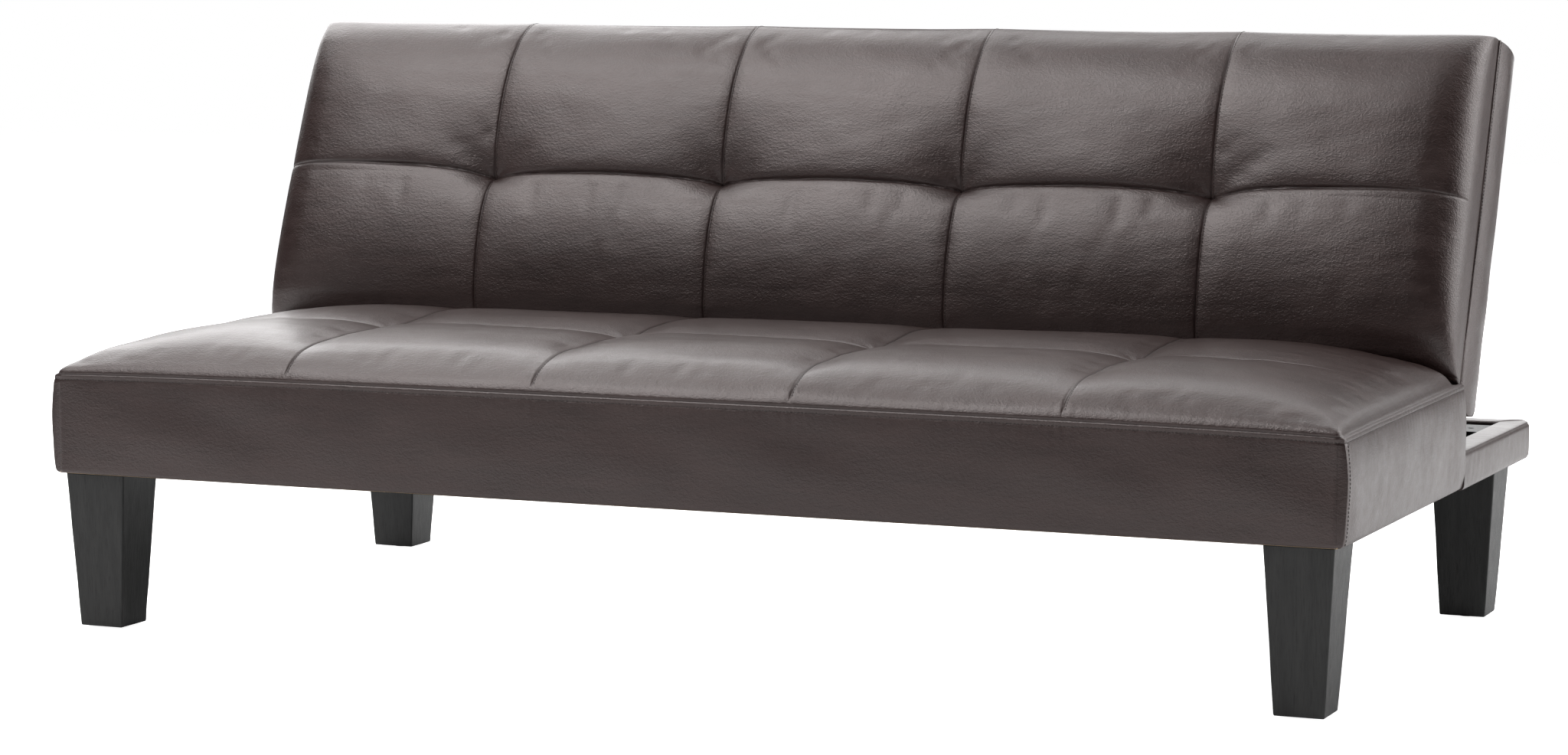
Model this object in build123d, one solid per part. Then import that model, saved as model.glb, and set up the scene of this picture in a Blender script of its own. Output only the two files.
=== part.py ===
"""Convertible futon sofa bed: a fixed seat on a four-legged base, and a backrest that clicks down flat."""

import math
import os

from build123d import *

os.makedirs("parts", exist_ok=True)

# Driving dimensions, in millimetres and degrees. X runs across the seat, -Y is the front, +Z is up,
# and the origin is on the floor under the middle of the base.
base_depth = 940.0
seam_half_width = 829.0
side_swell = 9.0
seat_seam_height = 333.0
seat_crown_height = 386.0
seat_rear_y = 94.5
leather = 1.2
fit_gap = 0.5
foam_gap = 1.5

# Backrest, in its own frame: n is square to its front seam plane, towards the rear, and s runs up it.
back_tilt = 22.4
back_origin_y = 93.7
back_origin_z = 334.3
back_length = 449.0
back_thickness = 87.0
back_crown = 87.0
back_rear_foot = 14.0
back_rail_height = 30.0
back_rail_low = 30.0
back_rail_top_gap = 12.0
stile_width = 30.0
webbing_heights = [150.0, 240.0, 330.0]
webbing_width = 50.0
webbing_thickness = 1.5
hem = 30.0

# Timber frame
board = 25.0
frame_bottom = 199.0
frame_top = 245.0
cover_slack = 1.3
side_rail_outer = seam_half_width - leather - cover_slack
side_rail_inner = side_rail_outer - board
rail_front_y = -base_depth / 2 + leather + cover_slack
rear_wrap_padding = 10.0
rail_rear_y = base_depth / 2 - rear_wrap_padding
cross_rail_rear_y = seat_rear_y - 3.5
wrap_edge_radius = 7.0
wrap_corner_radius = 12.0
wrap_hem = 12.0
wrap_inner_gap = 2.5
wrap_gap = 1.0
cloth_front_gap = 4.0
wrap_top_padding = 2.0
beam_x = 270.0
beam_width = 30.0
slat_thickness = 9.0
slat_width = 60.0
slat_count = 6

# Legs
leg_top_size = 83.0
leg_bottom_size = 59.5
leg_x = 780.5
front_leg_y = -419.5
rear_leg_y = 366.5
glide_height = 3.0
glide_radius = 12.0
leg_bolt_radius = 4.0
leg_bolt_length = 115.0
leg_bolt_lift = 10.0
leg_bolt_clearance = 0.2
corner_block_size = 80.0

# Click-clack hinges
hinge_y = 118.0
hinge_z = 308.0
hinge_x = 600.0
web_thickness = 4.0
washer_thickness = 1.0
arm_thickness = 5.0
arm_tip_radius = 15.0
arm_bolt_heights = [66.0, 114.0]
arm_bolt_radius = 3.0
arm_bolt_hole_radius = 3.2
bolt_head_radius = 6.0
bolt_head_height = 4.0
bracket_screw_inset = 19.0
bracket_screw_hole_radius = 3.3
hinge_pin_radius = 6.0
hinge_pin_clearance = 0.02
arm_pin_clearance = 0.06
washer_play = 0.1
arm_plate_depth = 22.0
arm_top = 134.0
bracket_foot_width = 34.0
pin_head_radius = 9.5
pin_head_height = 4.0
washer_radius = 13.0
ratchet_radius = 21.0
notch_angles = [105.7, 100.7, 66.7, 33.1]
notch_floor_radius = 16.9
notch_width = 7.0
pawl_pivot_radius = 36.0
pawl_pivot_angle = 73.0
pawl_hook_angle = 123.0
pawl_boss_radius = 6.5
pawl_pin_radius = 3.0
pawl_pin_head_radius = 5.0
spring_outer_radius = 6.6
spring_inner_radius = 5.3
spring_wire = 1.2
spring_start = 2.4
spring_end = 0.4

# Space cut out of the backrest for each hinge, inside and outside the bracket's inner face
pocket_inner = 38.0
pocket_outer = 46.0
slot_inner = 6.0
slot_outer = 12.0
pocket_n = 6.0
pocket_rear_n = 62.0
slot_n = 26.0
pocket_tops = [26.0, 45.0, 140.0]

# Tufts, in columns across both cushions
panel_pitch = 2 * 838.0 / 5
tuft_columns = [-1.5 * panel_pitch, -0.5 * panel_pitch, 0.5 * panel_pitch, 1.5 * panel_pitch]
seat_tuft_y = -188.0
back_tuft_s = 206.0
tie_radius = 1.5

# How far one outline of a cushion stands past the other, where both would make the same flat face
outline_lead = 0.5
overlap_margin = 30.0

# How far past a surface a cut goes, and half the size of a block that is larger than the whole sofa
cut = 1.0
beyond = 1000.0
same_place = 0.1

skin_bottom = frame_bottom - leather
slat_top = frame_top + slat_thickness
back_frame_n = back_thickness - leather - fit_gap - board
bracket_screw_heights = [frame_bottom + 13, frame_top - 13]
arm_inner_x = hinge_x + web_thickness + washer_thickness
arm_outer_x = arm_inner_x + arm_thickness
hinge_n = (hinge_y - back_origin_y) * math.cos(math.radians(back_tilt)) - (
    hinge_z - back_origin_z) * math.sin(math.radians(back_tilt))
hinge_s = (hinge_y - back_origin_y) * math.sin(math.radians(back_tilt)) + (
    hinge_z - back_origin_z) * math.cos(math.radians(back_tilt))
BACK = Location((0, back_origin_y, back_origin_z), (-back_tilt, 0, 0))
SIDES = {"left": -1, "right": 1}


def block(x0, x1, y0, y1, z0, z1):
    """A box between its lowest and highest corners."""
    return Pos((x0 + x1) / 2, (y0 + y1) / 2, (z0 + z1) / 2) * Box(abs(x1 - x0), abs(y1 - y0), abs(z1 - z0))


def along_x(outline, x0, x1):
    """A closed outline of (y, z) edges, extruded from x0 to x1."""
    face = make_face([Plane.YZ * edge for edge in outline])
    return Pos(x0, 0, 0) * extrude(face, amount=x1 - x0, dir=(1, 0, 0))


def save(name, shape):
    """Writes one node; a group is kept as separate solids."""
    solids = shape.solids()
    export_step(solids[0] if len(solids) == 1 else Compound(children=list(solids)), f"parts/{name}.step")


def polyline_x(points, x0, x1):
    """A closed polygon of (y, z) points, extruded from x0 to x1."""
    return along_x([Polyline(*points, close=True)], x0, x1)


def cylinder_x(y, z, radius, x0, x1):
    """A cylinder along X between x0 and x1."""
    return Pos((x0 + x1) / 2, y, z) * Rot(0, 90, 0) * Cylinder(radius, abs(x1 - x0))


def cylinder_z(x, y, radius, z0, z1):
    """An upright cylinder between z0 and z1."""
    return Pos(x, y, (z0 + z1) / 2) * Cylinder(radius, z1 - z0)


def cylinder_y(x, y, radius, length, z):
    """A cylinder along Y about its middle."""
    return Pos(x, y, z) * Rot(90, 0, 0) * Cylinder(radius, length)


def polar(radius, degrees):
    """The point at a radius and angle from the hinge axis, in the backrest's (n, s)."""
    angle = math.radians(degrees)
    return hinge_n + radius * math.cos(angle), hinge_s + radius * math.sin(angle)


def seat_side_view(inset):
    """The seat's outline in (y, z): straight front, rolled front edge, flat crown, sloped rear edge."""
    floor = skin_bottom - 4 * inset
    front = -base_depth / 2 + inset
    crown = seat_crown_height - inset
    rear = seat_rear_y - inset
    roll = Bezier((front, seat_seam_height), (front, seat_seam_height + 32), (front + 50, crown), (front + 160, crown))
    rest = Polyline((front + 160, crown), (28, crown), (rear, 300), (rear, floor),
                    (front, floor), (front, seat_seam_height))
    return [roll, rest]


def seat_front_view(inset):
    """The seat's outline in (x, z): swelled end panels and a crown that rolls down to the side seams.

    It stands a little over the side view at the crown and well below it at the floor, so that only
    one of the two outlines makes each flat face.
    """
    floor = skin_bottom - overlap_margin
    half = seam_half_width - inset
    crown = seat_crown_height - inset + outline_lead
    edges = [Polyline((-half, skin_bottom), (-half, floor), (half, floor), (half, skin_bottom)),
             Line((half - 180, crown), (-half + 180, crown))]
    for side in (-1, 1):
        edges.append(ThreePointArc((side * half, skin_bottom),
                                   (side * (half + side_swell), (skin_bottom + seat_seam_height) / 2),
                                   (side * half, seat_seam_height)))
        edges.append(Bezier((side * half, seat_seam_height), (side * half, seat_seam_height + 32),
                            (side * (half - 60), crown), (side * (half - 180), crown)))
    return edges


def seat_solid(inset):
    """The seat cushion with its boxing, drawn in by an inset."""
    side = along_x(seat_side_view(inset), -base_depth, base_depth)
    face = make_face([Plane.XZ * edge for edge in seat_front_view(inset)])
    front = extrude(face, amount=base_depth, both=True)
    return side & front


def back_side_view(inset):
    """The backrest's outline in (n, s): crowned front, square top, and a foot rounded about the hinge."""
    crown = -back_crown + inset
    rear = back_thickness - inset
    top = back_length - inset
    foot = ratchet_radius + washer_thickness - inset
    shoulder = Bezier((0, top), (-50, top), (crown, top - 40), (crown, top - 140))
    lap = Bezier((crown, 160), (crown, 90), (-66 + inset, 40 + inset), (-25, inset))
    start = polar(foot, 180)
    low = polar(foot, 250)
    end = polar(foot, 310)
    return [shoulder, Line((crown, top - 140), (crown, 160)), lap, Line((-25, inset), start), ThreePointArc(start, low, end),
            Polyline(end, (rear, back_rear_foot + inset), (rear, top), (0, top))]


def back_top_view(inset):
    """The backrest's outline in (x, n): swelled end panels and a full crown with round shoulders."""
    half = seam_half_width - inset
    crown = -back_crown + inset - outline_lead
    rear = back_thickness
    edges = [Polyline((-half, rear), (-half, rear + overlap_margin), (half, rear + overlap_margin), (half, rear)),
             Line((half - 150, crown), (-half + 150, crown))]
    for side in (-1, 1):
        edges.append(ThreePointArc((side * half, rear), (side * (half + side_swell), rear / 2), (side * half, 0)))
        edges.append(Bezier((side * half, 0), (side * half, -62), (side * (half - 30), crown),
                            (side * (half - 150), crown)))
    return edges


def back_solid(inset):
    """The backrest cushion in its own frame, drawn in by an inset."""
    side = along_x(back_side_view(inset), -base_depth, base_depth)
    face = make_face(back_top_view(inset))
    return side & Pos(0, 0, -base_depth) * extrude(face, amount=2 * base_depth, dir=(0, 0, 1))


def hinge_pockets():
    """The notches in the backrest's foot and rear that the two hinges work in."""
    pockets = Part()
    foot_top, pocket_top, slot_top = pocket_tops
    for side in SIDES.values():
        inner = side * (hinge_x - pocket_inner)
        outer = side * (hinge_x + pocket_outer)
        pockets += block(inner, outer, pocket_n, beyond, -beyond, foot_top)
        pockets += block(inner, outer, pocket_n, pocket_rear_n, foot_top, pocket_top)
        slot_low = side * (hinge_x - slot_inner)
        slot_high = side * (hinge_x + slot_outer)
        pockets += block(slot_low, slot_high, slot_n, pocket_rear_n, pocket_top, slot_top)
    return pockets


def save_base_frame():
    """The rectangle of rails, the cross rail behind the seat, beams, leg blocks and slats."""
    save("base_front_rail", block(-side_rail_inner, side_rail_inner, rail_front_y, rail_front_y + board,
                                  frame_bottom, frame_top))
    save("base_rear_rail", block(-side_rail_inner, side_rail_inner, rail_rear_y - board, rail_rear_y,
                                 frame_bottom, frame_top))
    for name, side in SIDES.items():
        save(f"{name}_side_rail", block(side * side_rail_inner, side * side_rail_outer, rail_front_y,
                                        rail_rear_y, frame_bottom, frame_top))
    cross_front_y = cross_rail_rear_y - board
    save("seat_rear_rail", block(-side_rail_inner, side_rail_inner, cross_front_y, cross_rail_rear_y,
                                 frame_bottom, frame_top))
    seat_beams = Part()
    extension_beams = Part()
    for side in SIDES.values():
        x0 = side * beam_x - beam_width / 2
        x1 = side * beam_x + beam_width / 2
        seat_beams += block(x0, x1, rail_front_y + board, cross_front_y, frame_bottom, frame_top)
        extension_beams += block(x0, x1, cross_rail_rear_y, rail_rear_y - board, frame_bottom, frame_top)
    save("seat_beams", seat_beams)
    save("extension_beams", extension_beams)
    slats = Part()
    pitch = (cross_rail_rear_y - slat_width - rail_front_y) / (slat_count - 1)
    for index in range(slat_count):
        y0 = rail_front_y + index * pitch
        slats += block(-side_rail_outer, side_rail_outer, y0, y0 + slat_width, frame_top, slat_top)
    for x in tuft_columns:
        slats -= cylinder_z(x, seat_tuft_y, tie_radius + fit_gap, frame_top - cut, slat_top + cut)
    save("seat_slats", slats)


def save_legs():
    """Four tapered legs with glides, hanger bolts and the blocks that the bolts screw into."""
    blocks = Part()
    bolts = Part()
    glides = Part()
    for end, y in {"front": front_leg_y, "rear": rear_leg_y}.items():
        for name, side in SIDES.items():
            x = side * leg_x
            foot = Pos(x, y, glide_height) * Rectangle(leg_bottom_size, leg_bottom_size)
            head = Pos(x, y, skin_bottom) * Rectangle(leg_top_size, leg_top_size)
            leg = loft([foot.face(), head.face()])
            bolt_low = skin_bottom - leg_bolt_length / 2
            bolt_high = bolt_low + leg_bolt_length - 2 * leg_bolt_lift
            bore_top = bolt_high + 2 * leg_bolt_lift
            bore = cylinder_z(x, y, leg_bolt_radius + leg_bolt_clearance, bolt_low - cut, bore_top)
            save(f"{end}_{name}_leg", leg - bore)
            block_y = rail_front_y + board if end == "front" else y - corner_block_size / 2
            blocks += block(side * (side_rail_inner - corner_block_size), side * side_rail_inner, block_y,
                            block_y + corner_block_size, frame_bottom, frame_top) - bore
            bolts += cylinder_z(x, y, leg_bolt_radius, bolt_low, bolt_high)
            glides += cylinder_z(x, y, glide_radius, 0, glide_height)
    save("leg_corner_blocks", blocks)
    save("leg_bolts", bolts)
    save("leg_glides", glides)


def save_seat():
    """The seat's foam block, its leather cover and the ties that pull the tufts down."""
    ties = Part()
    tie_holes = Part()
    for x in tuft_columns:
        ties += cylinder_z(x, seat_tuft_y, tie_radius, slat_top, seat_seam_height)
        tie_holes += cylinder_z(x, seat_tuft_y, tie_radius + fit_gap, slat_top - cut, seat_seam_height + cut)
    foam = seat_solid(leather + foam_gap) & block(-beyond, beyond, -beyond, beyond, slat_top, beyond)
    save("seat_foam", foam - tie_holes)
    cover = seat_solid(0) - seat_solid(leather)
    cover -= block(-side_rail_outer, side_rail_outer, rail_front_y, beyond, 0, slat_top)
    save("seat_cover", cover)
    save("seat_tuft_ties", ties)


def save_rear_wrap():
    """The padded leather sleeve round the bare rear half of the base, and the cloth under the base."""
    outer_x = seam_half_width + side_swell - wrap_gap
    inner_x = side_rail_inner - wrap_inner_gap
    outer_y = base_depth / 2
    inner_y = rail_rear_y - board - wrap_inner_gap
    start_y = seat_rear_y + wrap_gap
    hem_x = side_rail_outer - wrap_hem
    hem_y = rail_rear_y - wrap_hem
    sleeve = block(-outer_x, outer_x, start_y, outer_y, skin_bottom, frame_top + wrap_top_padding)
    sleeve -= block(-inner_x, inner_x, start_y - cut, inner_y, 0, beyond)
    sleeve -= block(-side_rail_outer, side_rail_outer, start_y - cut, rail_rear_y, frame_bottom, frame_top)
    sleeve -= block(-hem_x, hem_x, start_y - cut, hem_y, 0, frame_bottom)
    for side in SIDES.values():
        edge = sleeve.edges().filter_by(Axis.Y).filter_by(lambda e: abs(e.center().X - side * outer_x) < same_place)
        sleeve = fillet(edge, wrap_edge_radius)
    corners = sleeve.edges().filter_by(Axis.Z).filter_by(lambda e: e.center().Y > outer_y - wrap_gap)
    sleeve = fillet(corners, wrap_corner_radius)
    save("rear_frame_wrap", sleeve)
    cloth_x = hem_x - wrap_gap
    cloth = block(-cloth_x, cloth_x, rail_front_y + cloth_front_gap, hem_y - wrap_gap, skin_bottom, frame_bottom)
    for y in (front_leg_y, rear_leg_y):
        for side in SIDES.values():
            cloth -= cylinder_z(side * leg_x, y, leg_bolt_radius + fit_gap, 0, beyond)
    save("base_dust_cover", cloth)


def save_back_frame():
    """The timber ladder inside the backrest and the webbing across it."""
    rear_n = back_frame_n + board
    rail_top = back_rail_low + back_rail_height
    high = back_length - back_rail_top_gap
    top_rail_low = high - back_rail_height
    stile_outer_x = arm_outer_x + stile_width
    bottom_rail = block(-side_rail_outer, side_rail_outer, back_frame_n, rear_n, back_rail_low, rail_top)
    side_stiles = Part()
    mid_stiles = Part()
    for side in SIDES.values():
        bottom_rail -= block(side * (hinge_x - slot_inner), side * stile_outer_x, back_frame_n - cut,
                             rear_n + cut, back_rail_low - cut, rail_top + cut)
        side_stiles += block(side * side_rail_inner, side * side_rail_outer, back_frame_n, rear_n,
                             rail_top, top_rail_low)
        mid_stiles += block(side * arm_outer_x, side * stile_outer_x, back_frame_n, rear_n,
                            back_rail_low, top_rail_low)
        for s in arm_bolt_heights:
            mid_stiles -= cylinder_x(back_frame_n + board / 2, s, arm_bolt_hole_radius,
                                     side * (arm_outer_x - cut), side * (stile_outer_x + cut))
    save("back_bottom_rail", BACK * bottom_rail)
    save("back_top_rail", BACK * block(-side_rail_outer, side_rail_outer, back_frame_n, rear_n,
                                       top_rail_low, high))
    save("back_side_stiles", BACK * side_stiles)
    save("back_mid_stiles", BACK * mid_stiles)
    webbing = Part()
    for s in webbing_heights:
        webbing += block(-side_rail_outer, side_rail_outer, back_frame_n - webbing_thickness, back_frame_n,
                         s, s + webbing_width)
    for x in tuft_columns:
        webbing -= cylinder_y(x, back_frame_n, tie_radius + fit_gap, board, back_tuft_s)
    save("back_webbing", BACK * webbing)


def save_backrest():
    """The backrest's foam, leather cover, rear dust cover and tuft ties."""
    pockets = hinge_pockets()
    foam_rear_n = back_frame_n - 2 * cut
    ties = Part()
    tie_holes = Part()
    for x in tuft_columns:
        ties += cylinder_y(x, foam_rear_n / 2, tie_radius, foam_rear_n, back_tuft_s)
        tie_holes += cylinder_y(x, foam_rear_n / 2, tie_radius + fit_gap, foam_rear_n + 4 * cut, back_tuft_s)
    foam = back_solid(leather + foam_gap) & block(-beyond, beyond, -beyond, foam_rear_n, -beyond, beyond)
    save("back_foam", BACK * (foam - pockets - tie_holes))
    save("back_tuft_ties", BACK * ties)
    open_x = seam_half_width - hem
    opening = block(-open_x, open_x, back_thickness - board / 2, back_thickness + board / 2,
                    back_rear_foot + hem, back_length - hem)
    cover = back_solid(0) - back_solid(leather) - pockets - opening
    save("back_cover", BACK * cover)
    sheet_x = open_x - wrap_gap
    sheet = block(-sheet_x, sheet_x, back_thickness - leather, back_thickness,
                  back_rear_foot + wrap_gap + hem, back_length - hem - wrap_gap)
    save("back_dust_cover", BACK * (sheet - pockets))


def pawl_shape(x0, x1):
    """A hooked pawl round its pivot, lifted clear of the ratchet, in the backrest's frame."""
    pivot = polar(pawl_pivot_radius, pawl_pivot_angle)
    points = [polar(40, pawl_pivot_angle + 3), polar(33, pawl_hook_angle - 3), polar(31.5, pawl_hook_angle + 4),
              polar(22.2, pawl_hook_angle + 4), polar(22.2, pawl_hook_angle - 4),
              polar(27, pawl_hook_angle - 9), polar(30, pawl_pivot_angle + 4)]
    return polyline_x(points, x0, x1) + cylinder_x(*pivot, pawl_boss_radius, x0, x1)


def world_notch(angle, x0, x1):
    """A radial slot in the ratchet's rim at an angle from +Y, seen from +X."""
    slot = block(x0, x1, notch_floor_radius, ratchet_radius + 5, -notch_width / 2, notch_width / 2)
    return Pos(0, hinge_y, hinge_z) * Rot(angle, 0, 0) * slot


def save_bracket(name, side):
    """The ratchet bracket that is screwed to the rear face of the cross rail."""
    web0 = side * hinge_x
    web1 = side * (hinge_x + web_thickness)
    foot_low = frame_bottom + web_thickness
    foot_high = frame_top - wrap_top_padding
    neck_z = hinge_z - arm_thickness
    stem = [(cross_rail_rear_y, foot_low), (cross_rail_rear_y + 42, foot_low), (hinge_y + 20, neck_z),
            (hinge_y - 20.4, neck_z), (seat_rear_y + 3, frame_top + 8), (cross_rail_rear_y, foot_high)]
    bracket = polyline_x(stem, web0, web1) + cylinder_x(hinge_y, hinge_z, ratchet_radius, web0, web1)
    for angle in notch_angles:
        bracket -= world_notch(angle, web0 - side * cut, web1 + side * cut)
    bracket += block(side * (hinge_x - bracket_foot_width), web0, cross_rail_rear_y,
                     cross_rail_rear_y + web_thickness, foot_low, foot_high)
    for z in bracket_screw_heights:
        bracket -= cylinder_y(side * (hinge_x - bracket_screw_inset), cross_rail_rear_y,
                              bracket_screw_hole_radius, board, z)
    bracket -= cylinder_x(hinge_y, hinge_z, hinge_pin_radius + hinge_pin_clearance, web0 - side * board,
                          web1 + side * board)
    save(f"{name}_hinge_bracket", bracket)


def save_pin(name, side):
    """The hinge's headed pin, and the washer between the bracket and the arm."""
    web0 = side * hinge_x
    web1 = side * (hinge_x + web_thickness)
    arm1 = side * arm_outer_x
    head0 = web0 - side * pin_head_height
    rivet0 = arm1 + side * spring_end
    rivet1 = rivet0 + side * (pin_head_height + cut / 10)
    pin = cylinder_x(hinge_y, hinge_z, hinge_pin_radius, head0, rivet1)
    pin += cylinder_x(hinge_y, hinge_z, pin_head_radius, head0, web0)
    pin += cylinder_x(hinge_y, hinge_z, pin_head_radius, rivet0, rivet1)
    save(f"{name}_hinge_pin", pin)
    washer = cylinder_x(hinge_y, hinge_z, washer_radius, web1, web1 + side * (washer_thickness - washer_play))
    washer -= cylinder_x(hinge_y, hinge_z, hinge_pin_radius + hinge_pin_clearance, web1 - side * cut,
                         web1 + side * 2 * washer_thickness)
    save(f"{name}_hinge_washer", washer)


def save_arm(name, side):
    """The hinge arm that is bolted to the inner face of a middle stile."""
    arm0 = side * arm_inner_x
    arm1 = side * arm_outer_x
    arm_front = back_frame_n + wrap_gap
    arm_rear = arm_front + arm_plate_depth
    plate = [(hinge_n - 14.5, hinge_s + 2), (hinge_n - 4, hinge_s + 50), (arm_front, 60), (arm_front, arm_top),
             (arm_rear, arm_top), (arm_rear, 34), (hinge_n + 14.5, hinge_s - 2)]
    arm = polyline_x(plate, arm0, arm1) + cylinder_x(hinge_n, hinge_s, arm_tip_radius, arm0, arm1)
    arm -= cylinder_x(hinge_n, hinge_s, hinge_pin_radius + arm_pin_clearance, arm0 - side * cut, arm1 + side * cut)
    pivot = polar(pawl_pivot_radius, pawl_pivot_angle)
    arm -= cylinder_x(*pivot, pawl_pin_radius + hinge_pin_clearance, arm0 - side * cut, arm1 + side * cut)
    for s in arm_bolt_heights:
        arm -= cylinder_x(back_frame_n + board / 2, s, arm_bolt_hole_radius, arm0 - side * cut, arm1 + side * cut)
    save(f"{name}_hinge_arm", BACK * arm)


def save_pawl(name, side):
    """The pawl, the pin it turns on and the spring that presses it into the ratchet."""
    web0 = side * hinge_x
    web1 = side * (hinge_x + web_thickness)
    pivot = polar(pawl_pivot_radius, pawl_pivot_angle)
    pawl = pawl_shape(web0, web1)
    pawl -= cylinder_x(*pivot, pawl_pin_radius + arm_pin_clearance, web0 - side * cut, web1 + side * cut)
    save(f"{name}_hinge_pawl", BACK * pawl)
    coil0 = web0 - side * spring_start
    coil1 = web0 - side * spring_end
    spring = cylinder_x(*pivot, spring_outer_radius, coil0, coil1)
    spring -= cylinder_x(*pivot, spring_inner_radius, coil0 - side * cut, coil1 + side * cut)
    tail_start = (spring_outer_radius + spring_inner_radius) / 2
    for tail in (polar(33, pawl_hook_angle - 8), (back_frame_n + 5, 62)):
        reach = math.degrees(math.atan2(tail[1] - pivot[1], tail[0] - pivot[0]))
        length = math.hypot(tail[1] - pivot[1], tail[0] - pivot[0])
        wire = block(coil0, coil1, tail_start, length, -spring_wire / 2, spring_wire / 2)
        spring += Pos(0, *pivot) * Rot(reach, 0, 0) * wire
    save(f"{name}_pawl_spring", BACK * spring)
    pawl_pin = cylinder_x(*pivot, pawl_pin_radius, coil0, side * arm_outer_x)
    pawl_pin += cylinder_x(*pivot, pawl_pin_head_radius, coil0, coil1)
    save(f"{name}_pawl_pin", BACK * pawl_pin)


def save_hinge_bolts():
    """The screws that hold the brackets to the cross rail and the arms to the mid stiles."""
    bracket_screws = Part()
    arm_bolts = Part()
    head_x = arm_inner_x - bolt_head_height
    shank_end_x = arm_outer_x + stile_width - bolt_head_height
    for side in SIDES.values():
        x = side * (hinge_x - bracket_screw_inset)
        for z in bracket_screw_heights:
            bracket_screws += cylinder_y(x, cross_rail_rear_y + 1.5 * web_thickness, bolt_head_radius,
                                         bolt_head_height, z)
            bracket_screws += cylinder_y(x, cross_rail_rear_y + web_thickness / 2, arm_bolt_radius,
                                         web_thickness, z)
        for s in arm_bolt_heights:
            middle_n = back_frame_n + board / 2
            arm_bolts += cylinder_x(middle_n, s, arm_bolt_radius, side * arm_inner_x, side * shank_end_x)
            arm_bolts += cylinder_x(middle_n, s, bolt_head_radius, side * head_x, side * arm_inner_x)
    save("hinge_bracket_screws", bracket_screws)
    save("hinge_arm_bolts", BACK * arm_bolts)


save_base_frame()
save_legs()
save_seat()
save_rear_wrap()
save_back_frame()
save_backrest()
for hand, sign in SIDES.items():
    save_bracket(hand, sign)
    save_pin(hand, sign)
    save_arm(hand, sign)
    save_pawl(hand, sign)
save_hinge_bolts()
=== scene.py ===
"""Looks of a convertible futon sofa bed: tufted dark faux-leather cushions on black tapered legs."""

import math

import bpy
import numpy as np
from mathutils import Matrix, Vector


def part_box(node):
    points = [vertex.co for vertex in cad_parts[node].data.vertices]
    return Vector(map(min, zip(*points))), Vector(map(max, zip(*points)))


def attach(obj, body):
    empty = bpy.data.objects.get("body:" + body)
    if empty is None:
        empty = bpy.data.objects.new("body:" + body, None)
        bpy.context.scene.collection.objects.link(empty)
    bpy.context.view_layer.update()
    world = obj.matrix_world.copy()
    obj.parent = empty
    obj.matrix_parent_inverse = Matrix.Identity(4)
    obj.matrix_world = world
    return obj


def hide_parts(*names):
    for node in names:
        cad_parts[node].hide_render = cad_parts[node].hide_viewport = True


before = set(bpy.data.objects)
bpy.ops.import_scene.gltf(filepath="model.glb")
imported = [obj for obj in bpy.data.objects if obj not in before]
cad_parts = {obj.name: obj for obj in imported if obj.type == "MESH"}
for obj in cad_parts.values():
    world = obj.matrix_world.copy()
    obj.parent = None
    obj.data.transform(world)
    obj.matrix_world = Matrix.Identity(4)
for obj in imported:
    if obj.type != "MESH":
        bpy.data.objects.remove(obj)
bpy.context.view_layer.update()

MM = 0.001

# Sizes are in millimetres, and shares have no unit. An unevenness, such as seat_broad, is a height,
# a wavelength along, a wavelength across and a seed.

# Both cushions
side_swell = 9.0
seam_lip = 2.6
stitch_pitch = 4.6
stitch_length = 3.3
stitch_radius = 0.42
fine_mesh = 0.7
coarse_mesh = 5.0
boxing_mesh = 4.6

# Leather that settles as a cushion fills
settling_pressure = 4.0
settling_slack = 0.0022
settling_steps = 20
settling_cap = 2.4
settling_mesh = 14.0

# Seat cushion
seat_seam_z = 333.0
seat_crown = 54.0
seat_end_swell = 11.0
seat_front_swell = 2.5
hidden_seat_y = 48.0
seat_corner_radius = 8.0
seat_foot_radius = 5.5
seat_lip_ring = 14.5
seat_stitch_drop = 7.5
recess_z = 245.5
seat_corner_drop = 4.6
seat_corner_reach = 170.0
seat_rear_lift = 2.0
seat_column_depth = 9.0
seat_column_shallow = 0.12
seat_column_reach = 34.0
seat_row_depth = 5.5
seat_row_bow = 3.0
seat_row_bow_reach = 62.0
seat_row_reach_front = 30.0
seat_row_reach_rear = 24.0
seat_row_ends = (620.0, 790.0)
seat_tuft_depth = 7.0
seat_tuft_reach = 30.0
seat_pleat_height = 0.9
seat_pleat_reach = 34.0
seat_ditch_depth = 3.6
seat_ditch_reach = 1.5
seat_slit_depth = 2.6
seat_pucker_height = 0.55
seat_pucker_pitch = 13.0
seat_broad = (0.9, 210, 150, 11)
seat_fine = (0.22, 46, 60, 12)
seat_pucker_drift = (2.2, 90, 1, 13)
seat_side_broad = (1.0, 130, 90, 21)
seat_side_fine = (0.25, 46, 60, 22)
seat_front_broad = (0.9, 190, 120, 23)
seat_lip_drift = (2, 90, 1, 24)

# Backrest, in its own frame: s runs up its face, n is square to it, towards the rear
back_length = 449.0
back_thickness = 87.0
rail_s = 45.0
rail_n = 72.8
back_foot_s = 14.0
back_crown = 89.0
back_row_s = 205.0
back_row_reach = 70.0
back_hidden_s = 60.0
end_roll = 22.0
top_roll = 12.0
back_edge_radius = 7.0
back_hem = 30.0
hem_recess = 1.5
back_stitch_n = 5.0
back_crease_depth = 8.5
back_crease_reach_below = 12.0
back_tuft_depth = 19.0
back_tuft_sharpness = 1.5
back_tuft_across = 62.0
back_tuft_above = 66.0
back_tuft_below = 26.0
back_pleat_height = 0.9
back_slit_depth = 1.9
back_row_slit_depth = 4.0
back_pillow = 4.0
back_ditch_depth = 3.0
back_ditch_reach = 2.0
back_broad = (0.9, 230, 170, 31)
back_fine = (0.18, 60, 45, 32)
back_end_broad = (0.8, 120, 90, 41)
back_end_creases = (0.5, 26, 70, 42)
back_top_broad = (0.8, 160, 60, 43)

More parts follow.
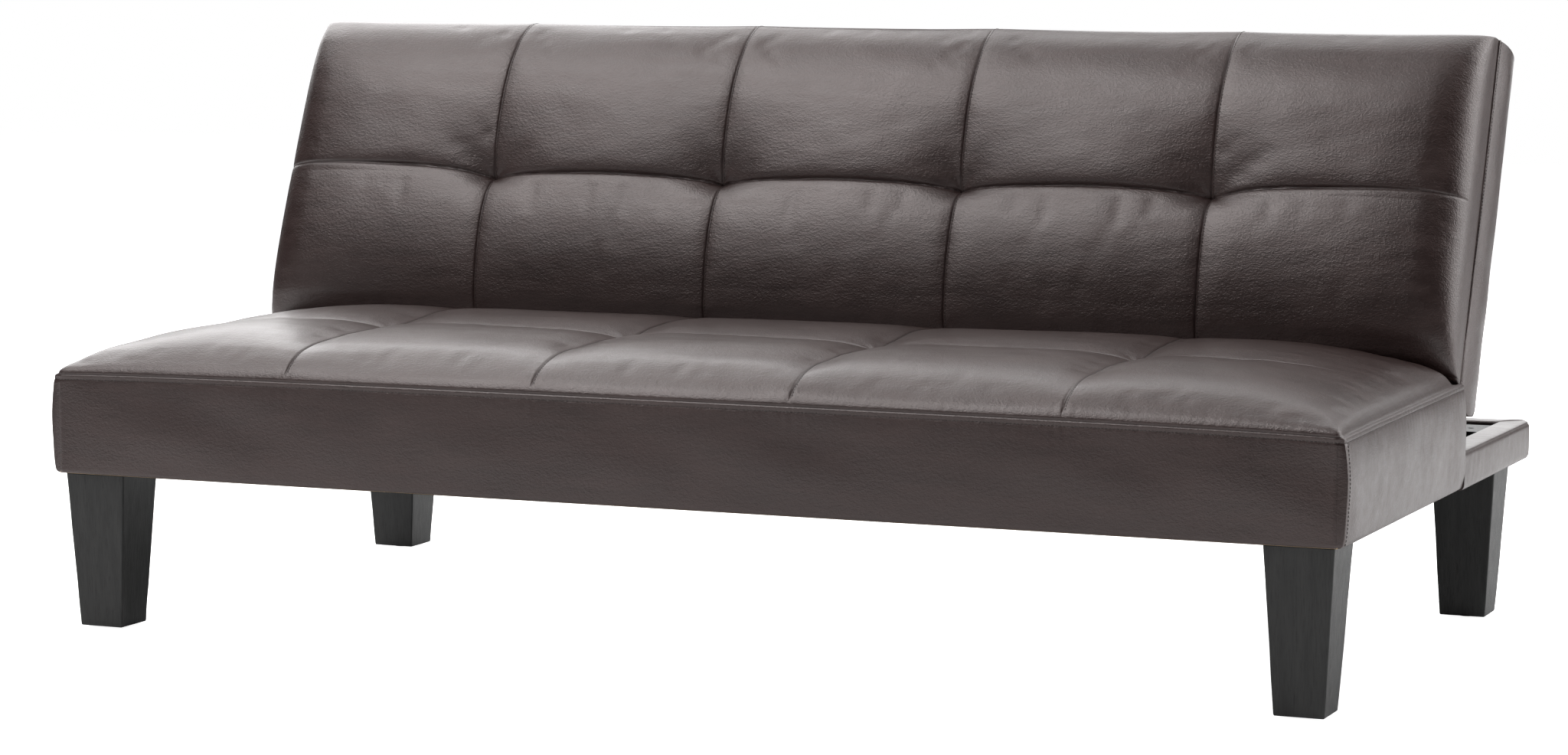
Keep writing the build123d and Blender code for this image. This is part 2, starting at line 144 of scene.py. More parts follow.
# Legs and the rear sleeve
leg_taper = 59.5 / 83.0
leg_edge = 2.2
leg_sanding = 0.12
sleeve_gap = 2.5
sleeve_roll = 7.0
sleeve_inner_roll = 4.0
sleeve_corner = 12.0
sleeve_hem = 15.0
sleeve_hem_rise = 1.3
sleeve_fold = 1.3

# Lining cloths
cloth_mesh = 9.0
cloth_sag = 5.0
cloth_creases = (1.2, 60, 45, 81)
lining_margin = 2.0
lining_front = -0.3
lining_rear = -1.0
billow_depth = 1.1
billow_broad = (0.9, 260, 180, 91)
billow_fine = (0.35, 34, 60, 92)
hem_fold = 0.5
staple_inset = 5.0
staple_pitch = 62.0
staple_length = 11.0
staple_radius = 0.55


# -------- numbers and curves


def box_mm(node):
    """Lowest and highest corner of a CAD node, in millimetres."""
    low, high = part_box(node)
    return np.array(low) / MM, np.array(high) / MM


def curve(points):
    """A smooth function through (position, value) points that doesn't overshoot them."""
    x, y = np.array(points, float).T
    step = np.diff(x)
    slope = np.diff(y) / step
    product = slope[:-1] * slope[1:]
    total = slope[:-1] + slope[1:]
    middle = np.where(product > 0, 2 * product / np.where(total == 0, 1, total), 0)
    tangent = np.concatenate([[slope[0]], middle, [slope[-1]]])

    def value(at):
        at = np.clip(at, x[0], x[-1])
        i = np.clip(np.searchsorted(x, at) - 1, 0, len(step) - 1)
        t = (at - x[i]) / step[i]
        rise = y[i] * (1 + 2 * t) * (1 - t) ** 2 + y[i + 1] * t * t * (3 - 2 * t)
        lean = tangent[i] * t * (1 - t) ** 2 + tangent[i + 1] * t * t * (t - 1)
        return rise + step[i] * lean

    return value


def smooth(low, high, at):
    """0 below low, 1 above high, smooth in between."""
    t = np.clip((at - low) / (high - low), 0, 1)
    return t * t * (3 - 2 * t)


def fade(distance, reach):
    """1 at no distance, falling off over the reach with a sharp peak."""
    return np.exp(-np.abs(distance) / reach)


def bell(distance, reach):
    """1 at no distance, falling off over the reach with a round peak."""
    return np.exp(-((distance / reach) ** 2))


def ripple(a, b, seed, waves=10):
    """Smooth random height, about -1 to 1; a and b are counted in wavelengths."""
    random = np.random.default_rng(seed)
    total = np.zeros(np.broadcast(a, b).shape)
    for _ in range(waves):
        angle, rate, phase = random.uniform((0, 0.6, 0), (2 * math.pi, 1.6, 2 * math.pi))
        total += np.sin(2 * math.pi * rate * (a * math.cos(angle) + b * math.sin(angle)) + phase)
    return total / math.sqrt(waves * 2)


def uneven(a, b, unevenness):
    """Smooth random height of one kind of unevenness at places a along and b across."""
    height, wave_a, wave_b, seed = unevenness
    return height * ripple(a / wave_a, b / wave_b, seed)


def graded(marks, fine, coarse, growth=0.28):
    """Values that include every mark, fine apart at the marks and coarser away from them."""
    values = [marks[0]]
    for low, high in zip(marks[:-1], marks[1:]):
        at = np.linspace(low, high, 801)
        spacing = np.minimum(coarse, fine + growth * np.minimum(at - low, high - at))
        count = np.concatenate([[0], np.cumsum(np.diff(at) / ((spacing[1:] + spacing[:-1]) / 2))])
        steps = max(1, round(count[-1]))
        values.extend(np.interp(np.linspace(0, count[-1], steps + 1), count, at)[1:])
    return np.array(values)


def nearest(values, wanted):
    """Number of the value that is nearest to the wanted one."""
    return int(np.argmin(np.abs(values - wanted)))


def round_edge(a, b, radius):
    """Moves points at distances a and b inside two faces so that the edge between the faces is round."""
    near = (a < radius) & (b < radius)
    p = np.where(near, radius - a, 0.0)
    q = np.where(near, radius - b, 0.0)
    reach = np.maximum(np.maximum(p, q), 1e-9)
    angle = np.minimum(p, q) / reach * math.pi / 4
    major = reach * np.cos(angle)
    minor = reach * np.sin(angle)
    new_p = np.where(p >= q, major, minor)
    new_q = np.where(p >= q, minor, major)
    return np.where(near, radius - new_p, a), np.where(near, radius - new_q, b)


def joined(a, b):
    """Two shares from 0 to 1 joined like the rolled edges of a pillow that meet at a corner."""
    width = np.maximum(0.75 * (a + b) * (2 - a - b), 1e-6)
    overlap = np.maximum(width - np.abs(a - b), 0) / width
    return np.minimum(a, b) - overlap**2 * width / 4


# -------- meshes


def add_object(name, points, faces):
    """A mesh object from millimetre points in the row frame, shaded smooth."""
    mesh = bpy.data.meshes.new(name)
    mesh.from_pydata((np.asarray(points, float) * MM).tolist(), [], [list(map(int, f)) for f in faces])
    mesh.polygons.foreach_set("use_smooth", [True] * len(mesh.polygons))
    mesh.update()
    obj = bpy.data.objects.new(name, mesh)
    bpy.context.scene.collection.objects.link(obj)
    return obj


def add_form(name, points, faces):
    """A closed form of quads, turned so that they face outwards."""
    a, b, c, d = (points[faces[:, k]] for k in range(4))
    volume = float((np.cross(a, b) * c).sum() + (np.cross(a, c) * d).sum())
    return add_object(name, points, faces[:, ::-1] if volume < 0 else faces)


def quads_of(number):
    """Quads between the points of a sheet, from their numbers at its crossings."""
    corners = [number[:-1, :-1], number[1:, :-1], number[1:, 1:], number[:-1, 1:]]
    return np.stack(corners, axis=-1).reshape(-1, 4)


class Lattice:
    """The surface of a box of crossings: each point's number and place, and quads between the points."""

    def __init__(self, u, v, w):
        u, v, w = (np.array(values) for values in (u, v, w))
        number = np.zeros((len(u), len(v), len(w)), int)
        number[1:-1, 1:-1, 1:-1] = -1
        place = np.argwhere(number == 0)
        number[number == 0] = np.arange(len(place))
        self.number = number
        self.u, self.v, self.w = u[place[:, 0]], v[place[:, 1]], w[place[:, 2]]
        self.first_u, self.first_v, self.first_w = (place == 0).T
        self.last_u, self.last_v, self.last_w = (place == np.array(number.shape) - 1).T
        sides = [number[:, :, -1], number[:, :, 0].T, number[-1], number[0].T, number[:, -1].T, number[:, 0]]
        self.faces = np.concatenate([quads_of(side) for side in sides])


def resample(path, normals, pitch):
    """Evenly spaced points, directions and normals along a path."""
    lengths = np.linalg.norm(np.diff(path, axis=0), axis=1)
    along = np.concatenate([[0], np.cumsum(lengths)])
    at = np.arange(pitch / 2, along[-1] - pitch / 2, pitch)

    def read(values, shift=0):
        return np.stack([np.interp(at + shift, along, column) for column in values.T], axis=1)

    direction = read(path, 1) - read(path, -1)
    direction /= np.linalg.norm(direction, axis=1)[:, None]
    up = read(normals)
    up /= np.linalg.norm(up, axis=1)[:, None]
    return read(path), direction, up


def capsules(name, rows, pitch, length, radius):
    """Short bowed rods, such as stitches or staples, along rows of (path, normals)."""
    rings = [(-0.5, 0.45, -0.45), (-0.36, 0.95, 0.0), (0.0, 1.0, 0.3), (0.36, 0.95, 0.0), (0.5, 0.45, -0.45)]
    lift = 0.25
    sides = 6
    size = len(rings) * sides
    quads = []
    for start in range(0, size - sides, sides):
        for step in range(sides):
            after = (step + 1) % sides
            quads.append([start + step, start + after, start + sides + after, start + sides + step])
    caps = [list(reversed(range(sides))), list(range(size - sides, size))]
    points = []
    for path, normals in rows:
        centre, direction, up = resample(path, normals, pitch)
        across = np.cross(direction, up)
        rod = []
        for along, width, rise in rings:
            middle = centre + direction * along * length + up * (rise + lift) * radius
            for step in range(sides):
                angle = 2 * math.pi * step / sides
                radial = across * math.cos(angle) + up * math.sin(angle)
                rod.append(middle + radial * radius * width)
        points.append(np.stack(rod, axis=1).reshape(-1, 3))
    points = np.concatenate(points)
    faces = [[start + k for k in face] for start in range(0, len(points), size) for face in quads + caps]
    return add_object(name, points, faces)


def sew(name, cushion, points, rows):
    """Stitches along rows of a cushion's points."""
    out = np.zeros(len(points) * 3, np.float32)
    cushion.data.vertex_normals.foreach_get("vector", out)
    normals = out.reshape(-1, 3).astype(float)
    paths = [(points[row], normals[row]) for row in rows]
    return capsules(name, paths, stitch_pitch, stitch_length, stitch_radius)


# -------- leather that settles under pressure


def between(us, vs, values, u, v):
    """Values given at every crossing of us and vs, read at other places between the crossings."""
    i = np.clip(np.searchsorted(us, u) - 1, 0, len(us) - 2)
    j = np.clip(np.searchsorted(vs, v) - 1, 0, len(vs) - 2)
    a = ((u - us[i]) / (us[i + 1] - us[i]))[:, None]
    b = ((v - vs[j]) / (vs[j + 1] - vs[j]))[:, None]
    low = values[i, j] * (1 - a) + values[i + 1, j] * a
    high = values[i, j + 1] * (1 - a) + values[i + 1, j + 1] * a
    return low * (1 - b) + high * b


def settle(name, points, grid, u_marks, v_marks, shape, sewn, outward):
    """Moves the points of a cushion's open face, the lattice's last w, as its leather does when it fills.

    shape gives the face's points, sewn says which of them are held by a seam, and outward is the way
    that the cushion's pressure pushes.
    """
    us = graded(u_marks, settling_mesh, settling_mesh)
    vs = graded(v_marks, settling_mesh, settling_mesh)
    u, v = (places.ravel() for places in np.meshgrid(us, vs, indexing="ij"))
    flat = shape(u, v)
    quads = quads_of(np.arange(len(u)).reshape(len(us), len(vs)))
    facing = np.cross(flat[quads[:, 1]] - flat[quads[:, 0]], flat[quads[:, 3]] - flat[quads[:, 0]])
    if (facing @ np.array(outward)).sum() < 0:
        quads = quads[:, ::-1]
    sheet = add_object(name, flat, quads)
    held = sheet.vertex_groups.new(name="sewn")
    held.add([int(i) for i in np.flatnonzero(sewn(u, v))], 1.0, "REPLACE")
    cloth = sheet.modifiers.new("settling", "CLOTH")
    cloth.settings.vertex_group_mass = held.name
    cloth.settings.use_pressure = True
    cloth.settings.uniform_pressure_force = settling_pressure
    cloth.settings.shrink_min = -settling_slack
    cloth.settings.effector_weights.gravity = 0.0
    for step in range(1, settling_steps + 1):
        bpy.context.scene.frame_set(step)
    graph = bpy.context.evaluated_depsgraph_get()
    result = sheet.evaluated_get(graph).data
    at = np.zeros(len(result.vertices) * 3, np.float32)
    result.vertices.foreach_get("co", at)
    moved = at.reshape(-1, 3) / MM - flat
    bpy.context.scene.frame_set(1)
    bpy.data.objects.remove(sheet)
    length = np.maximum(np.linalg.norm(moved, axis=1), 1e-6)
    moved *= (settling_cap * np.tanh(length / settling_cap) / length)[:, None]
    face = grid.last_w
    points[face] += between(us, vs, moved.reshape(len(us), len(vs), 3), grid.u[face], grid.v[face])


# -------- where things are

seat_low, seat_high = box_mm("seat_cover")
seat_tie_low, seat_tie_high = box_mm("seat_tuft_ties")
seam_half = seat_high[0] - side_swell
tie_radius = (seat_tie_high[1] - seat_tie_low[1]) / 2
outer_column = seat_tie_high[0] - tie_radius
columns = [-outer_column, -outer_column / 3, outer_column / 3, outer_column]
column_marks = [column + aside for column in columns for aside in (-seam_lip, 0, seam_lip)]
seat_tuft_y = (seat_tie_high[1] + seat_tie_low[1]) / 2
seat_front = seat_low[1]
seat_rear = seat_high[1]
seat_bottom = seat_low[2]

rail_low, rail_high = box_mm("back_bottom_rail")
top_rail_low, top_rail_high = box_mm("back_top_rail")
rail_rise = (top_rail_low + top_rail_high - rail_low - rail_high) / 2
rail_middle = (rail_low + rail_high) / 2
back_tilt = math.atan2(rail_rise[1], rail_rise[2])
sin_tilt = math.sin(back_tilt)
cos_tilt = math.cos(back_tilt)
back_y = rail_middle[1] - rail_s * sin_tilt - rail_n * cos_tilt
back_z = rail_middle[2] - rail_s * cos_tilt + rail_n * sin_tilt

sleeve_low, sleeve_high = box_mm("rear_frame_wrap")
sleeve_inner_x = box_mm("right_side_rail")[0][0] - sleeve_gap
sleeve_width = sleeve_high[0] - sleeve_inner_x
sleeve_start_y = sleeve_low[1]
sleeve_corner_y = sleeve_high[1] - sleeve_width
sleeve_tall = sleeve_high[2] - sleeve_low[2]
arm_run = sleeve_corner_y - sleeve_start_y
rear_run = 2 * sleeve_inner_x
sleeve_marks = [0.0, arm_run, arm_run + rear_run, 2 * arm_run + rear_run]


def back_to_row(x, s, n):
    """Points in the backrest's own frame, turned into the row frame."""
    return np.stack([x, back_y + s * sin_tilt + n * cos_tilt, back_z + s * cos_tilt - n * sin_tilt], axis=-1)


def column_offset(x):
    """Signed distance to the nearest column seam, and which column it is."""
    seams = np.array(columns)
    column = np.argmin(np.abs(x[:, None] - seams[None, :]), axis=1)
    return x - seams[column], column


# -------- seat cushion

seat_run = curve([(0, 0), (3, 4), (8, 10), (16, 17), (28, 24.5), (47, 33), (77, 41), (114, 46.5), (160, 50),
                  (220, 51), (282, 51), (340, 53), (400, 54), (440, 52), (480, 48.5), (515, 45), (565, 44)])
seat_side = curve([(0, 0), (3, .08), (8, .19), (16, .3), (38, .47), (60, .575), (88, .68), (130, .82),
                   (180, .93), (250, 1), (900, 1)])
seat_rear_drop = curve([(0, 59), (12, 48), (24, 36), (33, 26), (39, 18), (42, 10.5), (44.5, 5), (48, 1.5),
                        (55, 0), (600, 0)])
rear_drop_share = curve([(0, 0), (4, .3), (15, .62), (60, .92), (130, 1), (900, 1)])


def seat_top(x, y):
    """Height of the seat's upper leather over a point of its plan."""
    from_front = y - seat_front
    from_rear = seat_rear - y
    from_side = seam_half - np.abs(x)
    corner = fade(from_side, seat_corner_reach) * fade(from_front, seat_corner_reach)
    lifted = seat_rear_lift * smooth(200, 560, from_front) * fade(from_side, 60)
    seam = seat_seam_z - seat_corner_drop * corner + lifted
    rise = seat_crown * joined(seat_side(from_side), seat_run(from_front) / seat_crown)
    drop = seat_rear_drop(from_rear) * rear_drop_share(from_side)
    offset, column = column_offset(x)
    shown = seat_column_shallow + (1 - seat_column_shallow) * smooth(60, 250, from_rear)
    groove = seat_column_depth * smooth(0, 150, from_front) * shown * fade(offset, seat_column_reach)
    cross = y - seat_tuft_y - seat_row_bow * (1 - bell(offset, seat_row_bow_reach))
    end_fade = 1 - smooth(*seat_row_ends, np.abs(x))
    row_reach = np.where(cross < 0, seat_row_reach_front, seat_row_reach_rear)
    row = seat_row_depth * end_fade * fade(cross, row_reach)
    radius = np.hypot(offset, cross)
    tuft = seat_tuft_depth * fade(radius, seat_tuft_reach)
    gathers = np.cos(7 * np.arctan2(cross, offset) + column * 1.7)
    pleats = seat_pleat_height * gathers * fade(radius, seat_pleat_reach) * (1 - fade(radius, 8))
    broad = uneven(x, y, seat_broad) * smooth(0, 60, from_front) * smooth(0, 60, from_side)
    fine = uneven(x, y, seat_fine) * smooth(0, 25, from_front) * smooth(0, 25, from_side)
    near_edge = np.maximum(fade(from_front, seat_ditch_reach), fade(from_side, seat_ditch_reach))
    wave = np.sin(2 * math.pi * x / seat_pucker_pitch + uneven(x, 0 * x, seat_pucker_drift))
    pucker = seat_pucker_height * wave * fade(from_front, 9) * (1 - fade(from_front, seat_ditch_reach))
    slit = seat_slit_depth * fade(offset, 1.0) * smooth(1, 8, from_front)
    slit_row = seat_slit_depth * end_fade * fade(cross, 1.1)
    valleys = np.sqrt(groove**2 + row**2) + tuft + np.maximum(slit, slit_row)
    return seam + rise - drop - valleys + pleats + broad + fine + pucker - seat_ditch_depth * near_edge


def seat_points(grid):
    """Row-frame points of the seat's surface; the lattice's w is 0 underneath and 1 on top."""
    u, v, w = grid.u, grid.v, grid.w
    at_side, at_front, at_rear = grid.first_u | grid.last_u, grid.first_v, grid.last_v
    boxing = ~grid.last_w & (at_side | at_front | at_rear)
    inner = grid.first_w & ~boxing
    top = seat_top(u, v)
    z = seat_bottom + w * (top - seat_bottom)
    from_side = seam_half - np.abs(u)
    from_front = v - seat_front
    from_rear = seat_rear - v
    drop = top - z
    arch = np.sin(math.pi * w)
    mid = arch**0.8
    side_out = seat_end_swell * arch**0.3 * (0.8 + 0.2 * smooth(0, 40, np.minimum(from_front, from_rear)))
    front_out = seat_front_swell * mid * smooth(0, 60, from_side)
    folds = (uneven(v, z, seat_side_broad) + uneven(v, z, seat_side_fine)) * mid
    front_folds = uneven(u, z, seat_front_broad) * mid
    lip = -3.2 * fade(drop, 1.1) + 0.8 * bell(drop - seam_lip, 1.6)
    lip -= 0.5 * bell(drop - seat_stitch_drop, 1.0)
    pucker = 0.35 * np.sin(2 * math.pi * (u + v) / 14.0 + uneven(u + v, 0 * u, seat_lip_drift))
    lip += pucker * fade(drop - 12, 9)
    side_gap = from_side - np.where(boxing & at_side, side_out + folds + lip, 0.0)
    front_gap = from_front - np.where(boxing & at_front, front_out + front_folds + lip, 0.0)
    side_gap, front_gap = round_edge(side_gap, front_gap, seat_corner_radius)
    rise = z - seat_bottom
    rounded_rise, inset = round_edge(rise, 0 * rise, seat_foot_radius)
    foot = boxing & (rise < seat_foot_radius)
    z = np.where(foot, seat_bottom + rounded_rise, z)
    tuck = np.where(foot, inset, 0.0)
    x = np.sign(u) * (seam_half - side_gap - tuck * at_side)
    y = seat_front + front_gap + tuck * at_front - tuck * at_rear
    rim = (from_side < 2.2) | (from_front < 2.2) | (from_rear < 2.2)
    middle_y = (seat_front + seat_rear) / 2
    half_y = (seat_rear - seat_front) / 2
    x = np.where(inner, u * (seam_half - seat_lip_ring) / seam_half, x)
    y = np.where(inner, middle_y + (v - middle_y) * (half_y - seat_lip_ring) / half_y, y)
    z = np.where(inner, np.where(rim, seat_bottom, recess_z), z)
    return np.stack([x, y, z], axis=-1)


def seat_face(u, v):
    """Points of the seat's upper leather."""
    return np.stack([u, v, seat_top(u, v)], axis=-1)


def seat_is_sewn(u, v):
    """Whether a point of the seat's upper leather is at its edge, on a seam, or under the backrest."""
    at_edge = (seam_half - np.abs(u) < 1) | (v - seat_front < 1) | (v > hidden_seat_y - 1)
    on_column = np.abs(column_offset(u)[0]) < 1
    on_row = (np.abs(v - seat_tuft_y) < 1) & (np.abs(u) < 640)
    return at_edge | on_column | on_row


def make_seat_cushion():
    """The seat's closed form, and its rows of stitches."""
    height = seat_seam_z - seat_bottom
    u = graded([-seam_half, *column_marks, seam_half], fine_mesh, coarse_mesh)
    v = graded([seat_front, seat_tuft_y - 8, seat_tuft_y, seat_tuft_y + 8, hidden_seat_y, seat_rear],
               1.1, coarse_mesh)
    z = graded([0.0, height - seat_stitch_drop, height - seam_lip, height], fine_mesh, boxing_mesh, 0.25)
    grid = Lattice(u, v, z / height)
    points = seat_points(grid)
    settle("seat_settling", points, grid, [-seam_half, *columns, seam_half],
           [seat_front, seat_tuft_y, hidden_seat_y, seat_rear], seat_face, seat_is_sewn, (0, 0, 1))
    seat = add_form("seat_cushion", points, grid.faces)
    level = nearest(z, height - seat_stitch_drop)
    number = grid.number
    rows = [number[:, 0, level], number[0, :, level], number[-1, :, level]]
    for seam in columns:
        rows.append(number[nearest(u, seam + seam_lip), 3:nearest(v, 40), -1])
    for end in (0, -1):
        rows.append(number[end, nearest(v, seat_front + 7), 3:level])
    return seat, sew("seat_stitches", seat, points, rows)


# -------- back cushion

back_face = curve([(0, 25), (5, 36), (10, 44), (15, 49), (20, 53), (28, 58), (39, 65), (72, 76), (110, 84),
                   (150, 88), (209, 89), (267, 88), (310, 87), (350, 82), (400, 66), (420, 54), (433, 43),
                   (440, 36), (446, 24), (448.4, 12), (449, 0)])
back_end = curve([(0, 0), (3, .15), (6.6, .33), (14, .5), (31, .71), (50, .82), (81, .92), (151, .985),
                  (240, 1), (900, 1)])
foot_path = curve([(0, 87), (.15, 78), (.45, 46.6), (.62, 25), (.8, 10.5), (1, -25)])
foot_drop = curve([(0, 14), (.15, 2), (.45, -32), (.62, -36.5), (.8, -15), (1, 0)])


def rolled(t, roll):
    """How far in a point has moved after travelling t round a rolled edge."""
    return t - roll * (1 - np.exp(-t / roll))


def seam_height(x):
    """Where the long seam across the backrest runs: up between tufts and towards the ends."""
    lift = np.where(np.abs(x) > outer_column, 12.5, 7.0)
    return back_row_s + lift * (1 - fade(column_offset(x)[0], 48))


def back_depth(x, s, end_share):
    """How far the front leather stands forward of the seam plane."""
    face = back_face(s) / back_crown
    full = back_crown * joined(end_share, face)
    offset, column = column_offset(x)
    cross = s - seam_height(x)
    edge = smooth(0, 70, back_length - s) * smooth(0, 60, s)
    near_row = fade(cross, back_row_reach)
    groove = (1.8 + 3.6 * near_row) * edge * np.exp(-np.abs(offset) / (9 + 20 * near_row))
    end_fade = 1 - 0.7 * smooth(600, 800, np.abs(x))
    fan = 14 + 24 * bell(offset, 70)
    crease = back_crease_depth * end_fade * fade(cross, np.where(cross < 0, back_crease_reach_below, fan))
    tuft_along = np.where(cross > 0, back_tuft_above, back_tuft_below)
    reach = np.sqrt((offset / back_tuft_across) ** 2 + (cross / tuft_along) ** 2)
    near_tuft = np.exp(-reach * back_tuft_sharpness)
    gathers = np.cos(6 * np.arctan2(cross, offset) + column * 2.1)
    pleats = back_pleat_height * gathers * near_tuft * (1 - np.exp(-reach * 6))
    slit = back_slit_depth * fade(offset, 0.9) * smooth(1, 8, back_length - s)
    slit_row = back_row_slit_depth * fade(cross, 1.2)
    broad = uneven(x, s, back_broad) * end_share
    fine = uneven(x, s, back_fine) * end_share * smooth(0, 30, s)
    valleys = np.sqrt(groove**2 + crease**2) + back_tuft_depth * near_tuft + np.maximum(slit, slit_row)
    share = joined(end_share, np.clip(face * 1.4, 0, 1))
    return full + share * (back_pillow + pleats + broad + fine - valleys)


def back_points(grid):
    """Row-frame points of the backrest's surface; the lattice's w is 1 in front and 0 behind."""
    w = grid.w
    on_front, on_rear, on_foot, on_top = grid.last_w, grid.first_w, grid.first_v, grid.last_v
    on_end = grid.first_u | grid.last_u
    travel = seam_half + end_roll - np.abs(grid.u)
    climb = back_length + top_roll - grid.v
    share = grid.v / (back_length + top_roll)
    x = np.sign(grid.u) * (seam_half - rolled(travel, end_roll))
    s_front = back_length - rolled(climb, top_roll)
    s_rear = back_foot_s + (back_length - back_foot_s) * share
    end_share = back_end(travel)
    ditch = back_ditch_depth * np.maximum(fade(travel, back_ditch_reach), fade(climb, back_ditch_reach))
    depth = back_depth(x, s_front, end_share) - ditch * on_front
    n_plain = back_thickness * (1 - w)
    foot_n = foot_path(w)
    foot_n = np.where(foot_n < 0, foot_n * end_share, foot_n)
    foot_s = foot_drop(w)
    s_side = (1 - w) * s_rear + w * s_front + (1 - share) * (foot_s - (1 - w) * back_foot_s)
    n_side = n_plain + (1 - share) * (np.maximum(foot_n, 0) - n_plain)
    faces = [on_foot, on_rear, on_front, on_top]
    s = np.select(faces, [foot_s, s_rear, s_front, back_length], s_side)
    n = np.select(faces, [foot_n, back_thickness, -depth, n_plain], n_side)
    behind = np.clip(n, 0, back_thickness)
    belly = np.sin(math.pi * behind / back_thickness)
    swell = np.where(on_front, 0, side_swell * belly**0.8)
    lip = -2.2 * fade(behind, 0.9) + 0.9 * bell(behind - seam_lip, 1.6)
    creases = uneven(s, behind, back_end_creases) * np.exp(-s / 70)
    folds = (uneven(s, behind, back_end_broad) + creases) * belly
    x = x * (1 + swell / seam_half)
    x = x + np.sign(grid.u) * np.where(on_end & ~on_front, lip + folds, 0)
    s = s + np.where(on_top & ~on_front, lip + uneven(x, behind, back_top_broad), 0)
    top_gap, rear_gap = round_edge(back_length - s, back_thickness - n, back_edge_radius)
    s = back_length - top_gap
    end_gap = np.where(on_end, 0.0, np.maximum(seam_half - np.abs(x), 0.0))
    end_gap, rounded_gap = round_edge(end_gap, rear_gap, back_edge_radius)
    edge = on_end | on_rear
    x = np.where(edge & (rear_gap < back_edge_radius), np.sign(grid.u) * (seam_half - end_gap), x)
    n = back_thickness - np.where(edge, rounded_gap, rear_gap)
    hem = np.minimum(np.minimum(seam_half - np.abs(x), back_length - s), s - back_foot_s)
    n = n - np.where(on_rear, hem_recess * smooth(back_hem, back_hem + 3, hem), 0)
    return back_to_row(x, s, n)


def back_front(u, v):
    """Points of the backrest's front leather."""
    travel = seam_half + end_roll - np.abs(u)
    x = np.sign(u) * (seam_half - rolled(travel, end_roll))
    s = back_length - rolled(back_length + top_roll - v, top_roll)
    return back_to_row(x, s, -back_depth(x, s, back_end(travel)))


def back_is_sewn(u, v):
    """Whether a point of the backrest's front leather is at its edge, on a seam or down behind the seat."""
    at_edge = (seam_half + end_roll - np.abs(u) < 1) | (back_length + top_roll - v < 1)
    hidden = v < back_hidden_s + 1
    on_column = np.abs(column_offset(u)[0]) < 1
    on_row = np.abs(v - back_row_s) < 1
    return at_edge | hidden | on_column | on_row


def make_back_cushion():
    """The backrest's closed form, and its rows of stitches."""
    reach = seam_half + end_roll
    top = back_length + top_roll
    u = graded([-reach, *column_marks, reach], fine_mesh, coarse_mesh)
    v = graded([0.0, back_hidden_s, back_row_s, back_row_s + 6, back_row_s + 14, top], 0.9, boxing_mesh, 0.2)
    n = graded([0.0, back_thickness - back_stitch_n, back_thickness - seam_lip, back_thickness],
               0.8, boxing_mesh, 0.25)
    grid = Lattice(u, v, n / back_thickness)
    points = back_points(grid)
    settle("back_settling", points, grid, [-reach, *columns, reach], [0.0, back_hidden_s, back_row_s, top],
           back_front, back_is_sewn, (0, -1, 0))
    back = add_form("back_cushion", points, grid.faces)
    level = nearest(n, back_thickness - back_stitch_n)
    number = grid.number
    rows = [number[0, 6:, level], number[-1, 6:, level], number[:, -1, level]]
    for seam in columns:
        rows.append(number[nearest(u, seam + seam_lip), :, -1])
    return back, sew("back_stitches", back, points, rows)


def cut_hinge_pockets(cushion):
    """Cuts the notches that the two hinges work in out of the backrest's foot and rear."""
    plate = box_mm("right_hinge_bracket")[1][0] - 4
    open_foot = (plate - 38, plate + 46, 6, 200, -200, 26)
    open_rear = (plate - 38, plate + 46, 6, 62, 20, 45)
    arm_slot = (plate - 6, plate + 12, 26, 62, 40, 140)
    points = []
    faces = []
    for side in (-1, 1):
        for x0, x1, n0, n1, s0, s1 in (open_foot, open_rear, arm_slot):
            box = Lattice(sorted((side * x0, side * x1)), [s0, s1], [n0, n1])
            faces.append(box.faces + len(box.u) * len(faces))
            points.append(back_to_row(box.u, box.v, box.w))
    cutter = add_form("pocket_cutter", np.concatenate(points), np.concatenate(faces))
    cut = cushion.modifiers.new("pockets", "BOOLEAN")
    cut.operation = "DIFFERENCE"
    cut.solver = "MANIFOLD"
    cut.object = cutter
    apply_modifiers(cushion)
    bpy.data.objects.remove(cutter)


def apply_modifiers(obj):
    """Turns an object's modifiers into its mesh."""
    graph = bpy.context.evaluated_depsgraph_get()
    mesh = bpy.data.meshes.new_from_object(obj.evaluated_get(graph))
    old = obj.data
    obj.modifiers.clear()
    obj.data = mesh
    bpy.data.meshes.remove(old)


# -------- legs, rear sleeve and cloths


def make_leg(node):
    """A tapered leg with eased edges and a hand-sanded surface."""
    low, high = box_mm(node)
    centre = (low + high) / 2
    half_top = (high[0] - low[0]) / 2
    half_foot = half_top * leg_taper
    tall = high[2] - low[2]
    across = graded([-half_top, half_top], 0.7, 9.0, 0.35)
    up = graded([0.0, tall], 0.7, 9.0, 0.35)
    grid = Lattice(across, across, up)
    x, y, z = grid.u, grid.v, grid.w
    gap_x, gap_y = round_edge(half_top - np.abs(x), half_top - np.abs(y), leg_edge)
    foot_gap, gap_x = round_edge(z, gap_x, leg_edge)
    foot_gap, gap_y = round_edge(foot_gap, gap_y, leg_edge)
    share = (half_foot + (half_top - half_foot) * foot_gap / tall) / half_top
    sanding = leg_sanding * ripple(x / 30 + centre[0], z / 60, 51)
    sanding += leg_sanding * ripple(y / 30 + centre[1], z / 60, 52)
    at_x = centre[0] + np.sign(x) * (half_top - gap_x) * share + sanding * np.sign(x)
    at_y = centre[1] + np.sign(y) * (half_top - gap_y) * share + sanding * np.sign(y)
    return add_form(node + "_turned", np.stack([at_x, at_y, low[2] + foot_gap], axis=-1), grid.faces)


